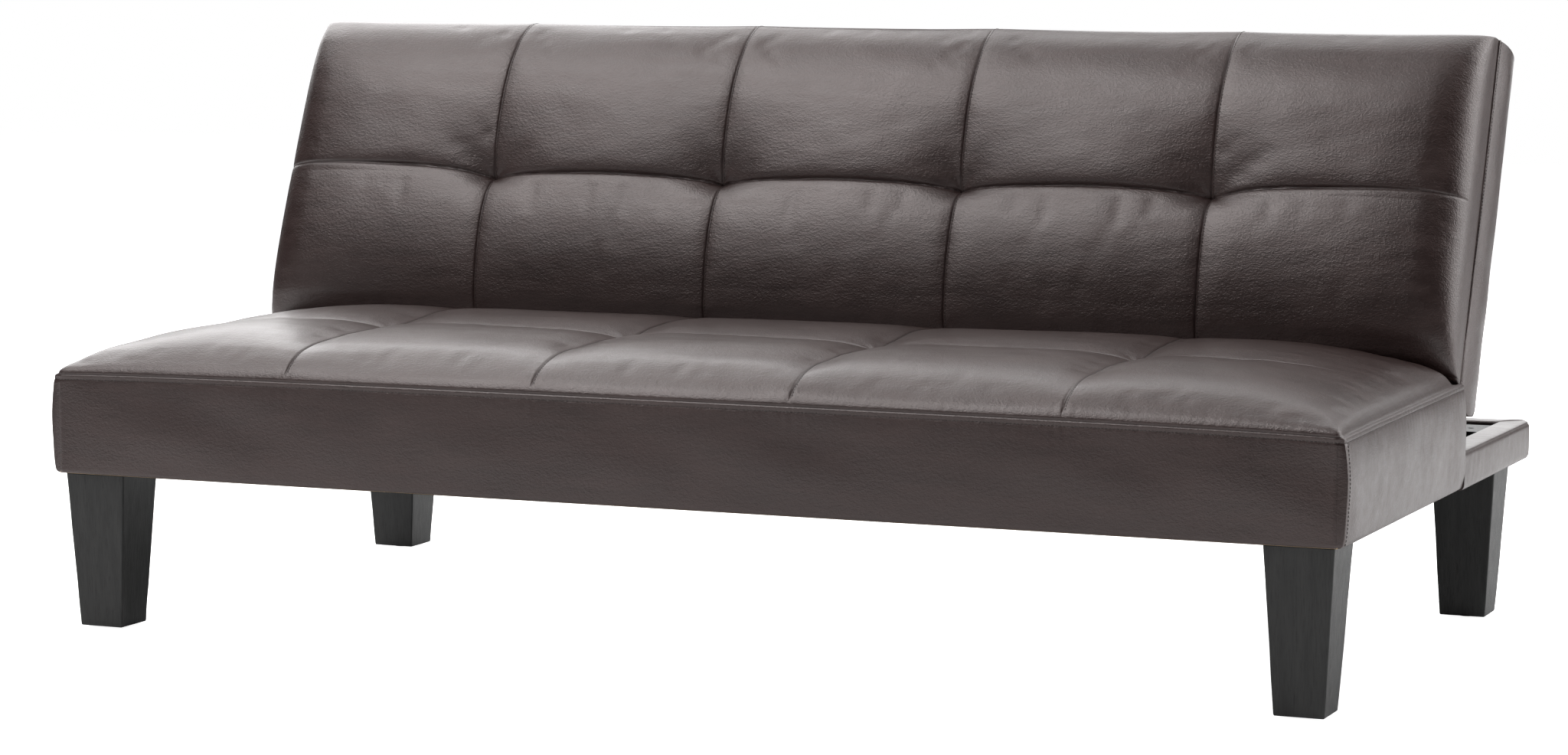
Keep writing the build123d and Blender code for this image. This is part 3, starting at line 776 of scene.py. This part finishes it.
def sleeve_path(along, across):
    """Plan place of a point that is along the U of the rear frame and across it from its inner side."""
    first_share = np.clip(along / arm_run, 0, 1)
    rear_share = np.clip((along - arm_run) / rear_run, 0, 1)
    last_share = np.clip((along - arm_run - rear_run) / arm_run, 0, 1)
    outer_x = sleeve_inner_x + across
    corner_y = sleeve_corner_y + across
    x = np.where(last_share > 0, outer_x, -outer_x + 2 * outer_x * rear_share)
    y = sleeve_start_y + (corner_y - sleeve_start_y) * np.where(last_share > 0, 1 - last_share, first_share)
    return x, y


def make_rear_sleeve():
    """Padded leather round the bare rear half of the base, folded at its two corners."""
    along = graded(sleeve_marks, 0.8, 6.0)
    grid = Lattice(along, graded([0.0, sleeve_width], 0.9, 4.0), graded([0.0, sleeve_tall], 0.9, 4.0))
    t, c, z = grid.u, grid.v, grid.w
    from_mitre = np.minimum(np.abs(t - arm_run), np.abs(t - arm_run - rear_run))
    on_rear = (t > arm_run + 0.1) & (t < arm_run + rear_run - 0.1)
    flap = np.where(on_rear, sleeve_fold * fade(from_mitre, 26), 0)
    pinch = fade(np.minimum(t, along[-1] - t), 55)
    waves = ripple(t / 30 + z / 90, z / 70, 61) * (0.35 + 1.1 * pinch)
    swell = np.sin(math.pi * (z / sleeve_tall))
    crown = np.sin(math.pi * (c / sleeve_width))
    beyond = sleeve_width + sleeve_tall
    top_gap, outer_gap = round_edge(sleeve_tall - z, sleeve_width - c, sleeve_roll)
    bottom_gap, outer_gap = round_edge(np.where(z < sleeve_tall / 2, z, beyond), outer_gap, sleeve_roll)
    inner_gap, top_gap = round_edge(np.where(c < sleeve_width / 2, c, beyond), top_gap, sleeve_inner_roll)
    c = np.where(inner_gap < beyond, inner_gap, sleeve_width - outer_gap)
    height = np.where(bottom_gap < beyond, bottom_gap, sleeve_tall - top_gap)
    c = c + np.where(grid.last_v, (1.0 * swell - 1.0) + 0.5 * waves * swell + flap * swell, 0)
    height = height + np.where(grid.last_w, 0.9 * crown + 0.35 * waves * crown + flap * crown, 0)
    x, y = sleeve_path(t, c)
    outer_x = sleeve_inner_x + sleeve_width
    outer_y = sleeve_corner_y + sleeve_width
    x_gap, y_gap = round_edge(outer_x - np.abs(x), outer_y - y, sleeve_corner)
    height = np.where(grid.first_w & (sleeve_width - c > sleeve_hem), sleeve_hem_rise, height)
    points = np.stack([np.sign(x) * (outer_x - x_gap), outer_y - y_gap, seat_bottom + height], axis=-1)
    return add_form("rear_sleeve", points, grid.faces)


def make_well_lining():
    """The black cloth strip on the inner faces of the rear frame."""
    up = graded([lining_margin, sleeve_tall - 2 * lining_margin], 1.0, 5.0)
    grid = Lattice(graded(sleeve_marks, 1.0, 8.0), [lining_rear, lining_front], up)
    t, c, z = grid.u, grid.v, grid.w
    slack = np.sin(math.pi * (z - lining_margin) / (sleeve_tall - 3 * lining_margin))
    loose = 0.7 * (ripple(t / 70, z / 50, 71) - 1.4) * slack
    x, y = sleeve_path(t, c + loose)
    return add_form("well_lining", np.stack([x, y, seat_bottom + z], axis=-1), grid.faces)


def make_base_cloth():
    """The black cloth stapled under the base, which sags a little between the rails."""
    low, high = box_mm("base_dust_cover")
    leg_low, leg_high = box_mm("front_right_leg")
    cross_low, cross_high = box_mm("seat_rear_rail")
    beam_x = box_mm("seat_beams")[1][0]
    u = graded([low[0], high[0]], 2.0, cloth_mesh)
    v = graded([low[1], (cross_low[1] + cross_high[1]) / 2, high[1]], 2.0, cloth_mesh)
    grid = Lattice(u, v, [0.0, 1.0])
    x, y = grid.u, grid.v
    sag = np.zeros(len(x))
    for x0, x1 in ((low[0] + 14, -beam_x), (-beam_x + 30, beam_x - 30), (beam_x, high[0] - 14)):
        for y0, y1 in ((low[1] + 24, cross_low[1]), (cross_high[1], high[1] - 14)):
            inside = (x > x0) & (x < x1) & (y > y0) & (y < y1)
            across = np.sin(math.pi * np.clip((x - x0) / (x1 - x0), 0, 1))
            along = np.sin(math.pi * np.clip((y - y0) / (y1 - y0), 0, 1))
            sag = np.where(inside, across * along * (cloth_sag + uneven(x, y, cloth_creases)), sag)
    from_legs = np.maximum(leg_low[0] - np.abs(x), np.minimum(y - leg_high[1], 320.0 - y))
    z = np.where(grid.last_w, high[2] - 0.1, high[2] - 1.0) - sag * smooth(0, 80, from_legs)
    return add_form("base_dust_cloth", np.stack([x, y, z], axis=-1), grid.faces)


def make_back_cloth():
    """The black cloth that closes the back of the backrest, with a turned-in edge, and its staples."""
    half_x = seam_half - back_hem - 1
    low_s = back_foot_s + back_hem + 1
    high_s = back_length - back_hem - 1
    grid = Lattice(graded([-half_x, half_x], 1.5, 7.0), graded([low_s, high_s], 1.5, 7.0), [0.0, 1.0])
    x, s = grid.u, grid.v
    inset = np.minimum(half_x - np.abs(x), np.minimum(s - low_s, high_s - s))
    turned = hem_fold * (1 - smooth(9, 10.5, inset))
    billow = smooth(8, 120, inset) * (billow_depth + uneven(x, s, billow_broad))
    billow = billow + uneven(x, s, billow_fine) * smooth(4, 20, inset) * fade(inset, 60)
    n = np.where(grid.last_w, back_thickness - 0.6 + turned, back_thickness - 1.3) + billow
    cloth = add_form("back_dust_cloth", back_to_row(x, s, n), grid.faces)
    side_x = half_x - staple_inset
    foot_s = low_s + staple_inset
    top_s = high_s - staple_inset
    rows = []
    corners = [(-side_x, foot_s), (side_x, foot_s), (side_x, top_s), (-side_x, top_s)]
    for first, second, count in ((0, 1, 80), (3, 2, 80), (0, 3, 40), (1, 2, 40)):
        edge_x, edge_s = np.linspace(corners[first], corners[second], count).T
        edge = back_to_row(edge_x, edge_s, np.full(count, back_thickness))
        rows.append((edge, np.tile([0.0, cos_tilt, -sin_tilt], (count, 1))))
    return cloth, capsules("back_staples", rows, staple_pitch, staple_length, staple_radius)


seat_cushion, seat_stitches = make_seat_cushion()
back_cushion, back_stitches = make_back_cushion()
cut_hinge_pockets(back_cushion)
leg_nodes = ["front_left_leg", "front_right_leg", "rear_left_leg", "rear_right_leg"]
legs = [make_leg(node) for node in leg_nodes]
rear_sleeve = make_rear_sleeve()
well_lining = make_well_lining()
base_cloth = make_base_cloth()
back_cloth, back_staples = make_back_cloth()


# -------- materials


class Shader:
    """A node material being built."""

    def __init__(self, name):
        self.material = bpy.data.materials.new(name)
        self.material.use_nodes = True
        self.nodes = self.material.node_tree.nodes
        self.links = self.material.node_tree.links
        self.surface = self.nodes["Principled BSDF"]

    def set(self, socket, value):
        """Links a socket to another, or gives it a constant."""
        if isinstance(value, bpy.types.NodeSocket):
            self.links.new(value, socket)
        else:
            socket.default_value = value

    def add(self, kind, values, **settings):
        """A new node with its inputs and settings."""
        node = self.nodes.new(kind)
        for key, value in settings.items():
            setattr(node, key, value)
        for key, value in values.items():
            self.set(node.inputs[key], value)
        return node

    def place(self, x=1.0, y=1.0, z=1.0):
        """Object coordinates, scaled along each axis."""
        at = self.add("ShaderNodeTexCoord", {}).outputs["Object"]
        return self.add("ShaderNodeMapping", {"Vector": at, "Scale": (x, y, z)}).outputs["Vector"]

    def noise(self, place, scale, detail=4.0, roughness=0.55):
        """Cloudy noise."""
        values = {"Vector": place, "Scale": scale, "Detail": detail, "Roughness": roughness}
        return self.add("ShaderNodeTexNoise", values).outputs["Fac"]

    def cells(self, place, scale, randomness=1.0):
        """Distance to the middle of the nearest cell of a cell pattern."""
        values = {"Vector": place, "Scale": scale, "Randomness": randomness}
        return self.add("ShaderNodeTexVoronoi", values).outputs["Distance"]

    def bands(self, scale, direction, distortion=0.0):
        """Parallel waves, such as twist or weave."""
        values = {"Vector": self.place(), "Scale": scale, "Distortion": distortion}
        return self.add("ShaderNodeTexWave", values, bands_direction=direction).outputs["Fac"]

    def math(self, operation, first, second):
        """Two values added or multiplied."""
        return self.add("ShaderNodeMath", {0: first, 1: second}, operation=operation).outputs[0]

    def ramp(self, factor, *stops):
        """Colours blended along a factor."""
        made = self.add("ShaderNodeValToRGB", {"Fac": factor})
        elements = made.color_ramp.elements
        while len(elements) < len(stops):
            elements.new(0.5)
        for element, (position, colour) in zip(elements, stops):
            element.position = position
            element.color = (*colour, 1.0)
        return made.outputs["Color"]

    def grey(self, factor, low, high, value_low, value_high):
        """A value that goes from one number to another as the factor goes from low to high."""
        made = self.add("ShaderNodeMapRange", {"Value": factor, "From Min": low, "From Max": high,
                                               "To Min": value_low, "To Max": value_high})
        return made.outputs["Result"]

    def mix(self, factor, first, second):
        """Two colours mixed."""
        made = self.add("ShaderNodeMix", {0: factor, 6: first, 7: second}, data_type="RGBA")
        return made.outputs[2]

    def bump(self, height, distance, strength, below=None):
        """A bumped normal, on top of another bump where one is given."""
        values = {"Height": height, "Distance": distance, "Strength": strength}
        if below is not None:
            values["Normal"] = below
        return self.add("ShaderNodeBump", values).outputs["Normal"]

    def finish(self, **values):
        """Sets inputs of the surface, with _ for a space, and gives the material."""
        for key, value in values.items():
            self.set(self.surface.inputs[key.replace("_", " ")], value)
        return self.material

    def follow(self, factor, colours, rough, relief, **values):
        """Finishes a material whose colour, roughness and relief all follow one factor."""
        return self.finish(Base_Color=self.ramp(factor, *colours), Roughness=self.grey(factor, *rough),
                           Normal=self.bump(factor, *relief), **values)


def leather():
    """Espresso faux leather: mottled colour, lengthways streaks of painted sheen, a fine pebble pressed
    lengthways, and a satin finish.
    """
    s = Shader("espresso_faux_leather")
    plain = s.place()
    pressed = s.place(0.62)
    streaks = s.noise(s.place(0.16), 75.0, 7.0, 0.62)
    base = s.ramp(s.noise(plain, 7.0, 6.0, 0.6), (0.28, (0.0185, 0.0093, 0.0084)),
                  (0.52, (0.0268, 0.0140, 0.0127)), (0.74, (0.0375, 0.0210, 0.0190)))
    # Painted sheen: lighter and darker streaks stretched lengthways in the colour stand in for broad
    # brushed-looking highlights
    painted_sheen_streaks = s.ramp(streaks, (0.38, (0.0165, 0.0084, 0.0076)), (0.66, (0.0430, 0.0245, 0.0220)))
    pebble = s.math("ADD", s.cells(pressed, 780.0), s.cells(pressed, 330.0))
    surface = s.bump(pebble, 0.00045, 0.6)
    surface = s.bump(s.noise(s.place(0.35), 210.0, 5.0, 0.6), 0.0009, 0.35, surface)
    surface = s.bump(s.noise(s.place(0.5), 48.0, 4.0, 0.6), 0.0022, 0.3, surface)
    cloudy = s.grey(s.noise(plain, 2.4, 3.0), 0.3, 0.7, -0.05, 0.05)
    rough = s.math("ADD", s.grey(streaks, 0.3, 0.7, 0.34, 0.46), cloudy)
    return s.finish(Base_Color=s.mix(0.38, base, painted_sheen_streaks), Roughness=rough, Normal=surface,
                    Specular_IOR_Level=0.65, Specular_Tint=(1.0, 0.87, 0.85, 1.0),
                    Coat_Weight=0.4, Coat_Roughness=0.3)


def thread():
    """Dark twisted sewing thread."""
    s = Shader("dark_sewing_thread")
    twist = s.bands(900.0, "DIAGONAL", 1.5)
    return s.follow(twist, [(0.2, (0.020, 0.015, 0.014)), (0.8, (0.060, 0.048, 0.044))], (0, 1, 0.45, 0.6),
                    (0.0001, 0.4))


def stained_wood():
    """Black-stained hardwood with open, upright grain."""
    s = Shader("black_stained_wood")
    pores = s.noise(s.place(z=0.045), 620.0, 4.0, 0.7)
    figure = s.noise(s.place(z=0.1), 90.0, 5.0, 0.55)
    stain = s.ramp(figure, (0.3, (0.0105, 0.0105, 0.0102)), (0.7, (0.0215, 0.0212, 0.0205)))
    colour = s.mix(s.grey(pores, 0.52, 0.68, 0.0, 0.8), stain, (0.006, 0.006, 0.006, 1.0))
    surface = s.bump(figure, 0.0006, 0.2, s.bump(pores, 0.0004, 0.55))
    return s.finish(Base_Color=colour, Roughness=s.grey(pores, 0.3, 0.7, 0.36, 0.55), Normal=surface)


def pine():
    """Sawn pale timber of the hidden frame."""
    s = Shader("frame_timber")
    rings = s.noise(s.place(0.08), 120.0, 5.0, 0.6)
    colours = [(0.3, (0.42, 0.27, 0.14)), (0.6, (0.56, 0.40, 0.23)), (0.8, (0.34, 0.21, 0.11))]
    return s.follow(rings, colours, (0.2, 0.8, 0.55, 0.75), (0.0005, 0.3))


def foam():
    """Open-cell cushion foam."""
    s = Shader("cushion_foam")
    return s.follow(s.cells(s.place(), 500.0), [(0.1, (0.45, 0.36, 0.22)), (0.7, (0.72, 0.64, 0.45))],
                    (0, 1, 0.85, 0.95), (0.001, 0.5))


def black_cloth():
    """Black non-woven dust-cover cloth."""
    s = Shader("black_nonwoven_cloth")
    fibres = s.noise(s.place(), 520.0, 6.0, 0.7)
    dimples = s.bump(s.cells(s.place(), 420.0, 0.25), 0.0003, 0.4)
    return s.finish(Base_Color=s.ramp(fibres, (0.3, (0.010, 0.010, 0.011)), (0.7, (0.030, 0.030, 0.032))),
                    Roughness=s.grey(fibres, 0.2, 0.8, 0.75, 0.92),
                    Normal=s.bump(fibres, 0.0003, 0.4, dimples))


def webbing():
    """Woven elastic webbing."""
    s = Shader("elastic_webbing")
    return s.follow(s.bands(160.0, "X"), [(0.2, (0.020, 0.020, 0.022)), (0.8, (0.10, 0.10, 0.105))],
                    (0, 1, 0.7, 0.9), (0.0005, 0.5))


def metal(name, dark, light, rough_low, rough_high):
    """Plated or oiled steel with faint rolling marks."""
    s = Shader(name)
    marks = s.noise(s.place(y=0.2), 300.0, 4.0, 0.6)
    return s.follow(marks, [(0.3, dark), (0.7, light)], (0.3, 0.7, rough_low, rough_high), (0.0001, 0.2),
                    Metallic=1.0)


def plastic():
    """Black moulded glide plastic."""
    s = Shader("glide_plastic")
    grain = s.noise(s.place(), 700.0, 3.0)
    return s.follow(grain, [(0.3, (0.015, 0.015, 0.015)), (0.7, (0.028, 0.028, 0.028))], (0.2, 0.8, 0.4, 0.55),
                    (0.0001, 0.3))


finishes = {
    "faux_leather": leather(),
    "black_stained_wood": stained_wood(),
    "frame_timber": pine(),
    "foam": foam(),
    "black_cloth": black_cloth(),
    "webbing": webbing(),
    "tie_thread": thread(),
    "hinge_steel": metal("black_oxide_hinge_steel", (0.06, 0.06, 0.062), (0.11, 0.11, 0.112), 0.38, 0.5),
    "bright_steel": metal("bright_zinc_steel", (0.52, 0.53, 0.54), (0.68, 0.69, 0.70), 0.22, 0.34),
    "glide_plastic": plastic(),
}


def dress(obj, slot_name):
    """Gives a piece the finish of the record's slot."""
    obj.data.materials.clear()
    obj.data.materials.append(finishes[slot_name])


for node_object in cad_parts.values():
    dress(node_object, node_object.data.materials[0].name.split(".")[0])

for piece, body, slot_name, stands_for in (
    (seat_cushion, "base", "faux_leather", ["seat_cover", "seat_foam"]),
    (seat_stitches, "base", "tie_thread", []),
    (rear_sleeve, "base", "faux_leather", ["rear_frame_wrap"]),
    (well_lining, "base", "black_cloth", []),
    (base_cloth, "base", "black_cloth", ["base_dust_cover"]),
    *((leg, "base", "black_stained_wood", [node]) for leg, node in zip(legs, leg_nodes)),
    (back_cushion, "backrest", "faux_leather", ["back_cover", "back_foam"]),
    (back_stitches, "backrest", "tie_thread", []),
    (back_cloth, "backrest", "black_cloth", ["back_dust_cover"]),
    (back_staples, "backrest", "bright_steel", []),
):
    dress(piece, slot_name)
    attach(piece, body)
    if stands_for:
        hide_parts(*stands_for)


# -------- studio

# The camera stands in front on the right; its place is in metres and its angles are in radians
camera_place = (2.00493, -4.91368, 0.85560)
camera_yaw = 0.3931
camera_pitch = -0.1022
camera_roll = 0.0041
camera_lens = 95.225
light_aim = 0.4
light_distance = 5.0
floor_half = 12000.0
floor_glow = 0.97
world_strength = 0.02


def add_camera():
    """The camera, turned by its heading, tilt and roll."""
    turn = Matrix.Rotation(camera_yaw, 4, "Z") @ Matrix.Rotation(math.pi / 2 + camera_pitch, 4, "X")
    turn = turn @ Matrix.Rotation(camera_roll, 4, "Z")
    data = bpy.data.cameras.new("camera")
    data.sensor_width = 36.0
    data.lens = camera_lens
    data.clip_start = 0.1
    data.clip_end = 100.0
    camera = bpy.data.objects.new("camera", data)
    bpy.context.scene.collection.objects.link(camera)
    camera.matrix_world = Matrix.Translation(camera_place) @ turn
    bpy.context.scene.camera = camera


def add_softbox(name, heading, climb, size, watts):
    """A square soft light aimed at the sofa; heading is in degrees from the front towards the right."""
    data = bpy.data.lights.new(name, "AREA")
    data.shape = "SQUARE"
    data.size = size
    data.energy = watts
    light = bpy.data.objects.new(name, data)
    bpy.context.scene.collection.objects.link(light)
    across = math.radians(heading)
    up = math.radians(climb)
    away = Vector((math.sin(across) * math.cos(up), -math.cos(across) * math.cos(up), math.sin(up)))
    light.location = Vector((0, 0, light_aim)) + away * light_distance
    light.rotation_mode = "QUATERNION"
    light.rotation_quaternion = (-away).to_track_quat("-Z", "Y")


def add_floor():
    """A plain white floor that runs far behind the sofa and glows a little, as an overexposed sweep does."""
    half = floor_half
    corners = [(-half, -half, 0), (half, -half, 0), (half, half, 0), (-half, half, 0)]
    floor = add_object("floor", corners, [(0, 1, 2, 3)])
    s = Shader("pale_floor")
    seen = s.add("ShaderNodeLightPath", {}).outputs["Is Camera Ray"]
    s.follow(s.noise(s.place(), 1.5, 2.0), [(0.3, (0.90, 0.90, 0.90)), (0.7, (0.93, 0.93, 0.93))],
             (0.3, 0.7, 0.88, 0.92), (0.0001, 0.02), Emission_Color=(1.0, 1.0, 1.0, 1.0),
             Emission_Strength=s.math("MULTIPLY", seen, floor_glow))
    floor.data.materials.append(s.material)


def add_world():
    """White surroundings that the camera sees and that hardly light the sofa."""
    world = bpy.data.worlds.new("studio")
    bpy.context.scene.world = world
    world.use_nodes = True
    nodes, links = world.node_tree.nodes, world.node_tree.links
    background = nodes["Background"].inputs
    background["Color"].default_value = (1.0, 1.0, 1.0, 1.0)
    seen = nodes.new("ShaderNodeLightPath").outputs["Is Camera Ray"]
    strength = nodes.new("ShaderNodeMapRange")
    strength.inputs["To Min"].default_value = world_strength
    links.new(seen, strength.inputs["Value"])
    links.new(strength.outputs["Result"], background["Strength"])


add_camera()
add_floor()
add_world()
for softbox in (
    ("front_left_high", 315, 56, 3.0, 118),
    ("front_left", 320, 25, 3.0, 5),
    ("left_high", 270, 50, 3.0, 42),
    ("back_left", 225, 25, 3.0, 80),
    ("back_left_high", 225, 50, 3.0, 44),
    ("back_low", 180, 15, 2.6, 45),
    ("back_high", 180, 50, 3.0, 43),
    ("back_right_high", 135, 40, 3.0, 72),
    ("right_low", 130, 8, 2.0, 17),
    ("right", 112, 15, 2.6, 72),
    ("right_high", 110, 40, 3.0, 42),
    ("front", 331, 36, 2.4, 32),
    ("front_high", 0, 60, 3.0, 22),
    ("top", 0, 88, 3.2, 19),
):
    add_softbox(*softbox)
bpy.context.scene.view_settings.view_transform = "Standard"
